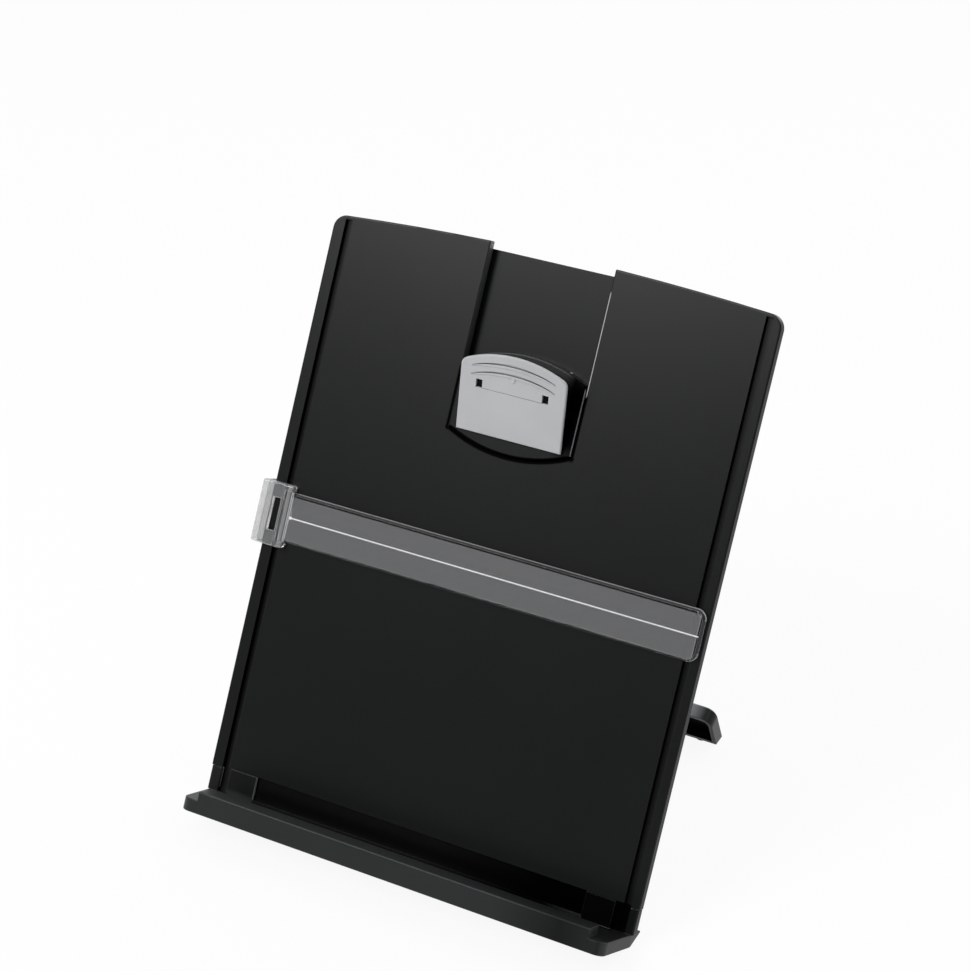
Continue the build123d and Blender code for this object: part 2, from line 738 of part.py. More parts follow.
def make_guide_carriage():
    outer = -panel_half - carriage_reach
    side_inner = outer + carriage_side_wall
    plate_end = -carriage_plate_inner
    front, plate_back_depth = -carriage_front, -carriage_front + carriage_plate
    rear_near = panel_depth + running_gap
    rear_far = rear_near + carriage_back_plate
    lip_outer = -panel_half + skirt_wall + running_gap
    low, high = guide_low, guide_high
    profile = block(outer, plate_end, front, rear_far, low, high)
    profile = fillet(profile.edges().filter_by(Axis.Z).group_by(Axis.X)[0], carriage_round * 2)
    body = profile - block(side_inner, plate_end + overrun, plate_back_depth, rear_near,
                           low - overrun, high + overrun)
    back_end = outer + carriage_back_reach
    body -= block(back_end, plate_end + overrun, rear_near - overrun, rear_far + overrun,
                  low - overrun, high + overrun)
    body += block(lip_outer, lip_outer + carriage_lip, rear_near - carriage_lip_height, rear_near, low, high)
    body += block(plate_end - carriage_runner, plate_end, plate_back_depth, -running_gap, low, high)
    knuckles = ((low, blade_low - running_gap), (blade_high + running_gap, high))
    for bottom, top in knuckles:
        knuckle = block(plate_end, -carriage_knuckle_inner, front, -running_gap, bottom, top)
        body += fillet(knuckle.edges().filter_by(Axis.Z).group_by(Axis.X)[-1], carriage_round)
    corners = body.edges().filter_by(Axis.Y).group_by(Axis.X)[-1].sort_by(Axis.Z)
    body = fillet([corners[0], corners[-1]], carriage_corner)
    body -= upright_pin(trunnion_radius + pin_gap, -blade_axis_place, -blade_reach,
                        blade_low - trunnion_length - running_gap, blade_high + trunnion_length + running_gap)
    window_low = guide_height - window_height / 2
    window_left = -panel_half + window_place
    body -= block(window_left, window_left + window_width, front - overrun, plate_back_depth + overrun,
                  window_low, window_low + window_height)
    return body


def make_guide_blade():
    middle = (blade_end - blade_axis_place) / 2
    outline = Pos(middle, guide_height) * Rectangle(blade_end + blade_axis_place, blade_height)
    outline = fillet(outline.vertices().group_by(Axis.X)[-1], blade_corner)
    near, far = -blade_reach - blade_wall / 2, -blade_reach + blade_wall / 2
    body = front_view(outline, near, far)
    rim = body.edges().group_by(Axis.Y)[0]
    body = chamfer(rim.filter_by(lambda e: e.center().X > -blade_axis_place + overrun), blade_bevel)
    body += upright_pin(barrel_radius, -blade_axis_place, -blade_reach, blade_low, blade_high)
    body += upright_pin(trunnion_radius, -blade_axis_place, -blade_reach,
                        blade_low - trunnion_length, blade_high + trunnion_length)
    return body - make_guide_line()


def make_guide_line():
    # The white line, let into the blade's front face, with a dot at its left end
    near = -blade_reach - blade_wall / 2
    start = -blade_axis_place + line_start_inset
    end = blade_end - line_end_inset
    line = block(start, end, near, near + line_depth, guide_height - line_width / 2,
                 guide_height + line_width / 2)
    return line + depth_pin(line_dot_radius, start, guide_height, near, near + line_depth)


# The leg is drawn folded flat behind the panel, then opened about its hinge
rest_drop = sin(radians(recline)) * bevel_middle - cos(radians(recline)) * bevel_middle_height + strip_proud
hinge_above_table = (cos(radians(recline)) * hinge_height - sin(radians(recline)) * hinge_depth + rest_drop)
rim_reach = leg_depth / 2
sole_length = (hinge_above_table - rim_reach * sin(radians(leg_lean))) / cos(radians(leg_lean))
foot_low = hinge_height - sole_length + sole_gap
leg_near = hinge_depth - leg_depth / 2
leg_far = hinge_depth + leg_depth / 2
sole_fall = tan(radians(leg_lean))
foot_end = foot_low - leg_depth * sole_fall
pad_tall = sole_gap * cos(radians(leg_lean)) + pad_sunk
leg_open = recline + leg_lean
leg_frame = Pos(0, hinge_depth, hinge_height) * Rot(leg_open, 0, 0) * Pos(0, -hinge_depth, -hinge_height)


def leg_outline(inset):
    """The T of the leg seen from the front, drawn in by an inset."""
    foot_top = foot_low + foot_height
    corner_top = foot_top - foot_shoulder_drop
    foot_top_half = foot_half - foot_taper
    right = [(leg_half, hinge_height), (leg_half, foot_top), (foot_top_half, corner_top),
             (foot_half, foot_end)]
    left = [(-x, h) for x, h in reversed(right)]
    face = Polygon(*right, *left, align=None)
    corners = face.vertices()
    face = fillet(corners.filter_by(lambda v: abs(v.Y - foot_top) < fine_round), foot_crook)
    tips = face.vertices().filter_by(lambda v: abs(v.Y - corner_top) < fine_round
                                     and abs(abs(v.X) - foot_top_half) < fine_round)
    face = fillet(tips, foot_corner)
    return offset(face, -inset) if inset else face


def below_sole(rise):
    """What lies under a plane parallel to the table of the opened leg, a rise above the foot's rim."""
    near, far = leg_near - overrun, leg_far + overrun
    under = foot_end - leg_depth
    at_near = foot_low + rise + overrun * sole_fall
    at_far = foot_low + rise - (far - leg_near) * sole_fall
    wedge = Polygon((near, at_near), (near, under), (far, under), (far, at_far), align=None)
    return side_view(wedge, -foot_half - overrun, foot_half + overrun)


def pad_frame(side):
    """The middle of a foot pad's sole, its height axis upright when the leg is open."""
    sole = foot_low - sole_gap - pad_setback * sole_fall
    return Pos(side * (foot_half - pad_end_inset), leg_near + pad_setback, sole) * Rot(-leg_lean, 0, 0)


def make_leg_shell():
    body = front_view(leg_outline(0), leg_near, leg_far)
    back_edges = body.edges().group_by(Axis.Y)[-1]
    body = chamfer(back_edges.filter_by(lambda e: e.center().Z < hinge_height - overrun), foot_draft)
    body -= below_sole(0)
    inner_top = hinge_height - leg_barrel_radius
    hollow = front_view(leg_outline(leg_wall), leg_near - overrun, leg_far - leg_wall)
    hollow -= block(-foot_half, foot_half, leg_near - overrun, leg_far, inner_top, hinge_height + overrun)
    body -= hollow - below_sole(leg_wall)
    for side in (-1, 1):
        body -= pad_frame(side) * Pos(0, 0, pad_tall / 2) * Cylinder(pad_radius + pin_gap, pad_tall)

    # Two long ribs and cross webs inside the stem
    rib_low = foot_low + leg_wall
    for side in (-1, 1):
        left = side * leg_rib_half - rib_wall / 2
        body += block(left, left + rib_wall, leg_near + leg_wall, leg_far - leg_wall, rib_low, inner_top)
    for web in range(leg_webs):
        height = foot_low + foot_height + leg_web_spacing * (web + 1) - rib_wall
        body += block(-leg_half + leg_wall, leg_half - leg_wall, leg_near + leg_wall,
                      leg_far - leg_wall, height, height + rib_wall)

    # The hinge barrel and the heel that stops the leg against the cover when it is open
    body += cross_pin(leg_barrel_radius, -leg_half, leg_half, hinge_depth, hinge_height)
    heel_rise = (hinge_depth - cover_back - leg_stop_gap) / sin(radians(leg_open))
    body += block(-heel_half, heel_half, hinge_depth, leg_far, hinge_height, hinge_height + heel_rise)
    body -= cross_pin(leg_pin_radius + pin_gap, -leg_half - overrun, leg_half + overrun,
                      hinge_depth, hinge_height)
    return leg_frame * body


def make_leg_foot(side):
    # A rubber disc let into the foot, its sole flat on the table when the leg is open
    disc = Pos(0, 0, pad_tall / 2) * Cylinder(pad_radius, pad_tall)
    return leg_frame * pad_frame(side) * fillet(disc.edges().group_by(Axis.Z)[0], fine_round)


pieces = {
    "front_panel": make_front_panel(),
    "rear_cover": make_rear_cover(),
    "slide_brake": make_slide_brake(),
    "cover_screws": make_cover_screws(),
    "tray": make_tray(),
    "tray_foot_strip": make_tray_foot_strip(),
    "tray_screws": make_tray_screws(),
    "leg_hinge_pin": make_leg_hinge_pin(),
    "slide_plate": make_slide_plate(),
    "clip_base": make_clip_base(),
    "clip_pin": make_clip_pin(),
    "clip_face": make_clip_face(),
    "clip_lever": make_clip_lever(),
    "clip_jaw_pad": make_clip_jaw_pad(),
    "guide_carriage": make_guide_carriage(),
    "guide_blade": make_guide_blade(),
    "guide_line": make_guide_line(),
    "leg_shell": make_leg_shell(),
}
for side, label in ((-1, "left"), (1, "right")):
    pieces["pin_clip_" + label] = make_pin_clip(side)
    pieces["clip_spring_" + label] = make_clip_spring(side)
    pieces["leg_foot_" + label] = make_leg_foot(side)

# Lean the holder back and set the middle of its front resting strip on the table at the origin
rest_depth = cos(radians(recline)) * bevel_middle + sin(radians(recline)) * bevel_middle_height
standing = Pos(0, -rest_depth, rest_drop) * Rot(-recline, 0, 0)
for name, shape in pieces.items():
    solids = shape if isinstance(shape, list) else shape.solids()
    placed = [standing * solid for solid in solids]
    whole = placed[0] if len(placed) == 1 else Compound(children=placed)
    export_step(whole, f"parts/{name}.step")
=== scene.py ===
import math
import bmesh
import bpy
from mathutils import Matrix, Vector


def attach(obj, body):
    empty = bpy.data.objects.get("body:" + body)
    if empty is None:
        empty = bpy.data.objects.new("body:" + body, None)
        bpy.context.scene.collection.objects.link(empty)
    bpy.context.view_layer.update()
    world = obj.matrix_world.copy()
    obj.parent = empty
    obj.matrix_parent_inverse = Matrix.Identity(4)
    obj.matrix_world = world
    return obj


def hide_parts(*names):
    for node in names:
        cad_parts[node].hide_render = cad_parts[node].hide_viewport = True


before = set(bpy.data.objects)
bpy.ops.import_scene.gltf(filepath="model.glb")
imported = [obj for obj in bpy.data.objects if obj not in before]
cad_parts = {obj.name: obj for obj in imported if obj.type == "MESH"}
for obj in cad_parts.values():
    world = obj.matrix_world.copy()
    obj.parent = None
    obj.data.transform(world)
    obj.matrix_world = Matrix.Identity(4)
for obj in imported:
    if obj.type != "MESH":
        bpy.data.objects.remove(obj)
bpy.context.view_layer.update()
print("frame loaded:", len(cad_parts), "nodes")

mm = 0.001

panelFrame = {  # the reclined panel: how far it leans back, and where its face meets its base line
    "recline": 30.0,  # degrees
    "faceY": -5.8525,  # mm
    "faceZ": 6.8631,
}
tilt = math.radians(panelFrame["recline"])
panelFrame["inward"] = (0.0, math.cos(tilt), -math.sin(tilt))
panelFrame["upward"] = (0.0, math.sin(tilt), math.cos(tilt))
panelFrame["faceDepth"] = panelFrame["faceY"] * math.cos(tilt) - panelFrame["faceZ"] * math.sin(tilt)
panelFrame["baseHeight"] = panelFrame["faceY"] * math.sin(tilt) + panelFrame["faceZ"] * math.cos(tilt)


def linearColour(hexText):
    channels = []
    for start in (0, 2, 4):
        value = int(hexText[start:start + 2], 16) / 255
        channels.append(value / 12.92 if value <= 0.04045 else ((value + 0.055) / 1.055) ** 2.4)
    return (*channels, 1.0)


def addNode(tree, kind, inputs=None, **attributes):
    # an input given as another node's socket is linked, and any other is set on the node itself
    node = tree.nodes.new(kind)
    for name, value in attributes.items():
        setattr(node, name, value)
    for socket, value in (inputs or {}).items():
        if isinstance(value, bpy.types.NodeSocket):
            tree.links.new(value, node.inputs[socket])
        else:
            node.inputs[socket].default_value = value
    return node


def startMaterial(name):
    material = bpy.data.materials.new(name)
    material.use_nodes = True
    material.node_tree.nodes.clear()
    return material, material.node_tree


def panelAxes(tree, coords):
    # where a point lies, in metres: across the panel, above the table, into the panel and up along it
    split = addNode(tree, "ShaderNodeSeparateXYZ", {0: coords})
    axes = {"across": split.outputs["X"], "height": split.outputs["Z"]}
    for axis, zero in (("inward", "faceDepth"), ("upward", "baseHeight")):
        along = addNode(tree, "ShaderNodeVectorMath", {0: coords, 1: panelFrame[axis]},
                        operation="DOT_PRODUCT")
        offset = addNode(tree, "ShaderNodeMath", {0: along.outputs["Value"], 1: panelFrame[zero] * mm},
                         operation="SUBTRACT")
        axes[axis] = offset.outputs[0]
    return axes


facingTurn = (0.6, 0.85)  # how squarely a face looks a zone's way where the zone starts and is full


def zoneShare(tree, axes, zone):
    # 1 inside the zone's box, fading to 0 across its soft borders, and only on faces turned its way
    spans = [(source, zone[axis]) for axis, source in axes.items() if axis in zone]
    if "ring" in zone:
        # between two radii about a point on the panel's middle line
        centre, *span = zone["ring"]
        rise = addNode(tree, "ShaderNodeMath", {0: axes["upward"], 1: centre * mm}, operation="SUBTRACT")
        arm = addNode(tree, "ShaderNodeCombineXYZ", {"X": axes["across"], "Y": rise.outputs[0]})
        reach = addNode(tree, "ShaderNodeVectorMath", {0: arm.outputs[0]}, operation="LENGTH")
        spans.append((reach.outputs["Value"], span))
    sides = []
    for source, (low, high, soft) in spans:
        for near, far in ((low - soft, low + soft), (high + soft, high - soft)):
            sides.append(addNode(tree, "ShaderNodeMapRange", {"Value": source, "From Min": near * mm,
                                                              "From Max": far * mm}).outputs[0])
    if "facing" in zone:
        normal = addNode(tree, "ShaderNodeNewGeometry").outputs["True Normal"]
        turned = addNode(tree, "ShaderNodeVectorMath", {0: normal, 1: zone["facing"]},
                         operation="DOT_PRODUCT")
        sides.append(addNode(tree, "ShaderNodeMapRange", {"Value": turned.outputs["Value"],
                                                          "From Min": facingTurn[0],
                                                          "From Max": facingTurn[1]}).outputs[0])
    share = sides[0]
    for side in sides[1:]:
        share = addNode(tree, "ShaderNodeMath", {0: share, 1: side}, operation="MULTIPLY").outputs[0]
    return share


edges = {
    "samples": 6,
    "start": 0.99,  # how nearly the rounded normal still follows the face where an edge starts
    "plasticFull": 0.86,  # and where a moulded edge is full
    "acrylicFull": 0.9,
}


def edgeShare(tree, radius, full, most):
    # the normal rounded over the edges, and a share that grows from 0 on flat faces to its most on edges
    rounded = addNode(tree, "ShaderNodeBevel", {"Radius": radius * mm}, samples=edges["samples"])
    flat = addNode(tree, "ShaderNodeNewGeometry").outputs["True Normal"]
    turn = addNode(tree, "ShaderNodeVectorMath", {0: rounded.outputs["Normal"], 1: flat},
                   operation="DOT_PRODUCT")
    share = addNode(tree, "ShaderNodeMapRange", {"Value": turn.outputs["Value"], "From Min": edges["start"],
                                                 "From Max": full, "To Max": most})
    return rounded.outputs["Normal"], share.outputs["Result"]


patterns = {
    "detail": 2.0,
    "grainRoughness": 0.55,
    "low": 0.3,  # the noise's own range, stretched to the whole of each colour and gloss
    "high": 0.7,
}


def tonesByZone(tree, coords, finish, body, edgeHighlight):
    # the body's colour, the edges' colour and the shine, each changed where a zone says so
    edgeColour, specular = linearColour(finish["edgeHex"]), finish["specular"]
    zones = finish.get("zones", ())
    axes = panelAxes(tree, coords) if zones else None
    for zone in zones:
        share = zoneShare(tree, axes, zone)
        if "hex" in zone:
            body = addNode(tree, "ShaderNodeMix", {"Factor": share, "A": body,
                                                   "B": linearColour(zone["hex"])},
                           data_type="RGBA").outputs["Result"]
        if "edgeHex" in zone:
            edgeColour = addNode(tree, "ShaderNodeMix", {"Factor": share, "A": edgeColour,
                                                         "B": linearColour(zone["edgeHex"])},
                                 data_type="RGBA").outputs["Result"]
        if "specular" in zone:
            specular = addNode(tree, "ShaderNodeMix", {"Factor": share, "A": specular, "B": zone["specular"]},
                               data_type="FLOAT").outputs["Result"]
        if "edgeSpecular" in zone:
            rim = addNode(tree, "ShaderNodeMath", {0: share, 1: edgeHighlight}, operation="MULTIPLY", use_clamp=True)
            specular = addNode(tree, "ShaderNodeMix", {"Factor": rim.outputs[0], "A": specular,
                                                       "B": zone["edgeSpecular"]},
                               data_type="FLOAT").outputs["Result"]
    return body, edgeColour, specular


def mouldedPart(name, finish):
    # an even body colour with a slow drift, a fine grain, softened edges painted lighter as a highlight and,
    # where given, painted shade in crevices
    material, tree = startMaterial(name)
    coords = addNode(tree, "ShaderNodeTexCoord").outputs["Object"]
    grain = addNode(tree, "ShaderNodeTexNoise", {"Vector": coords, "Scale": 1 / (finish["grain"] * mm),
                                                 "Detail": patterns["detail"],
                                                 "Roughness": patterns["grainRoughness"]})
    slow = addNode(tree, "ShaderNodeTexNoise", {"Vector": coords, "Scale": 1 / (finish["drift"] * mm),
                                                "Detail": patterns["detail"]})
    shade = addNode(tree, "ShaderNodeMapRange", {"Value": slow.outputs["Fac"], "From Min": patterns["low"],
                                                 "From Max": patterns["high"]})
    tint = addNode(tree, "ShaderNodeMix", {"Factor": shade.outputs["Result"],
                                           "A": linearColour(finish["low"]),
                                           "B": linearColour(finish["high"])}, data_type="RGBA")
    gloss = addNode(tree, "ShaderNodeMapRange", {"Value": grain.outputs["Fac"], "From Min": patterns["low"],
                                                 "From Max": patterns["high"], "To Min": finish["rough"][0],
                                                 "To Max": finish["rough"][1]})
    # painted highlight: the edges are painted lighter than the faces, as if they caught the light
    rounded, edgeHighlight = edgeShare(tree, finish["edge"], edges["plasticFull"], finish["edgeHighlightShare"])
    bump = addNode(tree, "ShaderNodeBump", {"Height": grain.outputs["Fac"], "Normal": rounded,
                                            "Strength": finish["bump"],
                                            "Distance": finish["grainDepth"] * mm})
    body, edgeColour, specular = tonesByZone(tree, coords, finish, tint.outputs["Result"], edgeHighlight)
    colour = addNode(tree, "ShaderNodeMix", {"Factor": edgeHighlight, "A": body, "B": edgeColour},
                     data_type="RGBA").outputs["Result"]
    if "crevice" in finish:
        # painted shade: darker in the engraved lines and at the foot of each step, where little light reaches
        crevice = finish["crevice"]
        around = addNode(tree, "ShaderNodeAmbientOcclusion", {"Distance": crevice["reach"] * mm},
                         samples=crevice["samples"], only_local=True)
        creviceShade = addNode(tree, "ShaderNodeMapRange", {"Value": around.outputs["AO"],
                                                    "From Min": crevice["open"],
                                                    "From Max": crevice["shut"]})
        colour = addNode(tree, "ShaderNodeMix", {"Factor": creviceShade.outputs["Result"], "A": colour,
                                                 "B": linearColour(crevice["hex"])},
                         data_type="RGBA").outputs["Result"]
    shader = addNode(tree, "ShaderNodeBsdfPrincipled", {
        "Base Color": colour, "Roughness": gloss.outputs["Result"], "Normal": bump.outputs["Normal"],
        "IOR": finish["ior"], "Metallic": finish.get("metal", 0.0), "Specular IOR Level": specular})
    addNode(tree, "ShaderNodeOutputMaterial", {"Surface": shader.outputs["BSDF"]})
    return material


# A zone is a box on the panel in mm, (low, high, soft border) for each axis that bounds it: across the
# panel, height above the table, inward from the panel's face and upward from its base.
# A ring is (centre up the panel, inner radius, outer radius, soft border).
# It gives any of a colour, the edges' colour, a shine and the edges' shine; most zones paint shade or
# highlights.
padArcCentre = 281.7  # of the arc round the foot of the clip's pad
clipBand = (190.0, 213.5, 0.8)  # the height of that arc
rightwards, skywards = (1.0, 0.0, 0.0), (0.0, 0.0, 1.0)
unlit = {"hex": "010101", "specular": 0.02}  # a gap that no light reaches
unlitEdge = {"edgeHex": "010101", "edgeSpecular": 0.0}

panelZones = [
    # painted shade in the edge grooves and the step at the foot, darker towards the right, with no painted
    # highlight on their edges
    {"across": (108.0, 118.0, 0.2), "edgeHex": "0C0F0E"},
    {"across": (-118.0, -107.0, 0.2), "edgeHex": "0C0F0E"},
    {"across": (104.0, 113.4, 1.8), "inward": (0.15, 2.1, 0.08), "hex": "010101", "edgeHex": "010101",
     "specular": 0.03},
    {"across": (-122.0, -111.4, 1.6), "inward": (0.15, 2.1, 0.08), "hex": "010101", "edgeHex": "010101",
     "specular": 0.03},
    {"across": (-106.0, 106.0, 1.0), "upward": (-2.0, 14.8, 0.2), "inward": (0.3, 2.1, 0.1), "hex": "040404",
     "edgeHex": "040404", "specular": 0.16},
    {"across": (40.0, 140.0, 30.0), "upward": (-2.0, 14.8, 0.2), "inward": (0.3, 2.1, 0.1), **unlit},
    # painted shadow on the slot's rim round the clip's pad; higher up a painted highlight along its right
    # edge
    {"across": (-38.0, 38.0, 0.4), "upward": (190.0, 243.0, 0.6), **unlitEdge},
    {"across": (-38.0, 38.0, 0.4), "upward": (190.0, 243.0, 0.6), "inward": (0.08, 3.0, 0.06), **unlit},
    {"ring": (padArcCentre, 76.9, 78.0, 0.3), "upward": (203.0, 213.0, 0.4), "across": (-35.0, 35.0, 0.4),
     **unlit},
    {"across": (33.0, 34.7, 0.3), "upward": (211.0, 243.0, 0.6), **unlit},
    {"across": (-34.7, -33.0, 0.3), "upward": (211.0, 243.0, 0.6), **unlit},
    {"across": (33.45, 34.0, 0.1), "upward": (243.0, 294.0, 0.6), "inward": (-0.2, 0.7, 0.1), "hex": "C4C6C6",
     "edgeHex": "C4C6C6"},
    # a painted highlight on the panel's right outer edge, painted shade on faces turned to the right, and
    # painted light on the slot's left wall
    {"across": (118.5, 124.0, 0.3), "edgeHex": "808383"},
    {"facing": rightwards, "hex": "050606", "edgeHex": "050606", "specular": 0.05},
    {"across": (-36.0, -31.0, 0.3), "facing": rightwards, "hex": "3A3D3D", "edgeHex": "3A3D3D",
     "specular": 0.5},
]
padZones = [
    # painted shadow on the pad beside the clip and along its lower rim, and a painted highlight on its right
    # edge
    {"upward": clipBand, **unlitEdge},
    {"upward": clipBand, "inward": (-0.4, 3.0, 0.1), **unlit},
    {"ring": (padArcCentre, 75.0, 78.0, 0.3), "upward": clipBand, **unlit},
    {"across": (24.0, 40.0, 2.5), "upward": (213.0, 262.0, 5.0), "edgeHex": "010101", **unlit},
    {"across": (32.55, 32.95, 0.1), "upward": (212.0, 246.0, 1.0), "inward": (-0.6, 0.2, 0.1),
     "hex": "7A7D7D", "edgeHex": "7A7D7D", "specular": 0.3},
]
slideZones = [
    # the slide lies in shadow in the gap below the clip's pad
    {"ring": (padArcCentre, 74.5, 80.0, 0.3), "upward": (190.0, 214.0, 0.8), "edgeHex": "010101", **unlit},
]
footZones = [
    # a painted highlight on the foot's top, and painted shade on its end
    {"across": (-88.0, 86.0, 5.0), "height": (12.0, 40.0, 1.0), "facing": skywards, "hex": "A0A4A4",
     "specular": 0.9},
    {"across": (91.0, 100.0, 2.0), "height": (-1.0, 40.0, 1.0), "hex": "090A0A", "specular": 0.16},
]
trayZones = [
    # painted shade on the trough's back wall, darker at its right end, and on the tray's top towards the
    # right
    {"across": (-92.4, 92.4, 0.2), "upward": (1.6, 12.0, 0.2), "inward": (-3.4, 1.5, 0.2), "hex": "070808",
     "edgeHex": "0C0D0D", "specular": 0.14},
    {"across": (30.0, 140.0, 30.0), "upward": (1.6, 12.0, 0.2), "inward": (-3.4, 1.5, 0.2),
     "edgeHex": "020202", **unlit},
    {"across": (40.0, 160.0, 50.0), "upward": (4.8, 7.0, 0.6), "inward": (-28.0, -10.0, 0.5),
     "hex": "0E1010", "specular": 0.25},
    # painted highlights on the ears' rims and the left ear's right side; painted shade on the right ear's
    # face and the tray's right end; the cheeks are painted darker, the right one most
    {"across": (-109.0, -92.0, 0.6), "upward": (4.0, 18.0, 1.0), "inward": (-4.0, 0.0, 0.4), "hex": "090B0B",
     "edgeHex": "B4B7B7", "specular": 0.24},
    {"across": (80.0, 125.0, 8.0), "inward": (-26.0, 20.0, 3.0), "hex": "101212", "specular": 0.26},
    {"across": (75.0, 112.0, 18.0), "inward": (-29.6, -28.4, 0.2), "hex": "0D0F0F", "specular": 0.2},
    {"across": (92.0, 109.0, 0.4), "upward": (1.0, 18.0, 0.4), "inward": (-4.0, 0.0, 0.4), "hex": "010101",
     "edgeHex": "8A8D8D", "specular": 0.05},
    {"across": (-93.4, -91.0, 0.3), "upward": (2.0, 18.0, 1.0), "facing": rightwards, "hex": "9A9D9D"},
    {"across": (-121.0, -111.0, 0.5), "upward": (1.4, 16.0, 0.4), "hex": "0B0D0D", "edgeHex": "1A1D1D",
     "specular": 0.28},
    {"across": (112.0, 121.0, 0.5), "upward": (1.4, 16.0, 0.4), "hex": "060808", "edgeHex": "1A1D1D",
     "specular": 0.16},
]

# Moulded ABS is spark-eroded at about 0.1 mm. The grain is drawn at 0.3 to 0.6 mm, or it would not show.
# the lighter edge colour is a painted highlight along every edge
blackAbs = {"low": "0D100F", "high": "111413", "grain": 0.5, "drift": 60, "rough": (0.28, 0.36),
            "edge": 0.4, "edgeHex": "3A3D3D", "edgeHighlightShare": 0.8, "bump": 0.2, "grainDepth": 0.02, "ior": 1.53,
            "specular": 0.3}
finishes = {
    # the panel's black ABS: deep black that greys softly towards the light, with fine painted highlights on
    # its edges
    "panelAbs": {**blackAbs, "low": "080B0A", "high": "0C0F0E", "edgeHex": "414444", "specular": 0.36,
                 "zones": panelZones},
    # the clip pad's black ABS: the same black with rounder edges and a lighter painted highlight on them
    "padAbs": {**blackAbs, "edge": 0.7, "edgeHex": "4A4D4D", "specular": 0.34, "zones": padZones},
    # plain satin black ABS of the pieces behind
    "blackAbs": blackAbs,
    # the slide's ABS: the same, and unlit where it passes under the pad
    "slideAbs": {**blackAbs, "zones": slideZones},
    # the leg's ABS: a little glossier, so that the foot catches the light from above, and painted light on
    # its top
    "footAbs": {**blackAbs, "rough": (0.24, 0.32), "edgeHex": "343737", "zones": footZones},
    # the tray's charcoal ABS: duller and greyer, so that its flat front reads apart from the panel
    "trayAbs": {**blackAbs, "low": "1B1E1E", "high": "202323", "drift": 50, "rough": (0.4, 0.5),
                "edge": 0.45, "edgeHex": "303333", "edgeHighlightShare": 0.7, "specular": 0.4, "zones": trayZones},
    # smooth black ABS of the lever: painted near black with little shine, as painted shade behind the light
    # cover and in its windows
    "leverAbs": {**blackAbs, "low": "050506", "high": "080809", "grain": 0.4, "drift": 20, "edge": 0.3,
                 "edgeHex": "0A0A0B", "edgeHighlightShare": 0.5, "bump": 0.15, "specular": 0.06},
    # light grey ABS of the clip's cover: an even satin grey, with painted shade in its engraved lines
    "greyAbs": {**blackAbs, "low": "C2C3C5", "high": "C7C8CA", "grain": 0.35, "drift": 25,
                "rough": (0.36, 0.44), "edge": 0.45, "edgeHex": "F4F5F5", "bump": 0.15,
                "grainDepth": 0.015, "specular": 0.4,
                "crevice": {"reach": 0.9, "open": 0.86, "shut": 0.5, "hex": "2E2F31", "samples": 8}},
    # filled white paint of the guide's line: flat and even
    "whiteInk": {"low": "F4F4F4", "high": "FAFAFA", "grain": 0.3, "drift": 40, "rough": (0.5, 0.6),
                 "edge": 0.1, "edgeHex": "FAFAFA", "edgeHighlightShare": 0.3, "bump": 0.1, "grainDepth": 0.01,
                 "ior": 1.5, "specular": 0.5},
    # moulded rubber of the feet and the jaw: soft black with no highlight
    "rubber": {"low": "101011", "high": "141415", "grain": 0.6, "drift": 20, "rough": (0.7, 0.85),
               "edge": 0.3, "edgeHex": "1E1E1F", "edgeHighlightShare": 0.5, "bump": 0.4, "grainDepth": 0.03,
               "ior": 1.52, "specular": 0.3},
    # bright drawn steel of the pins, springs and screws: grey metal with blurred highlights
    "drawnSteel": {"low": "B0B0AC", "high": "BDBDBA", "grain": 0.3, "drift": 10, "rough": (0.25, 0.38),
                   "edge": 0.15, "edgeHex": "D8D8D5", "edgeHighlightShare": 0.5, "bump": 0.15, "grainDepth": 0.01,
                   "ior": 1.5, "specular": 0.5, "metal": 1.0},
}


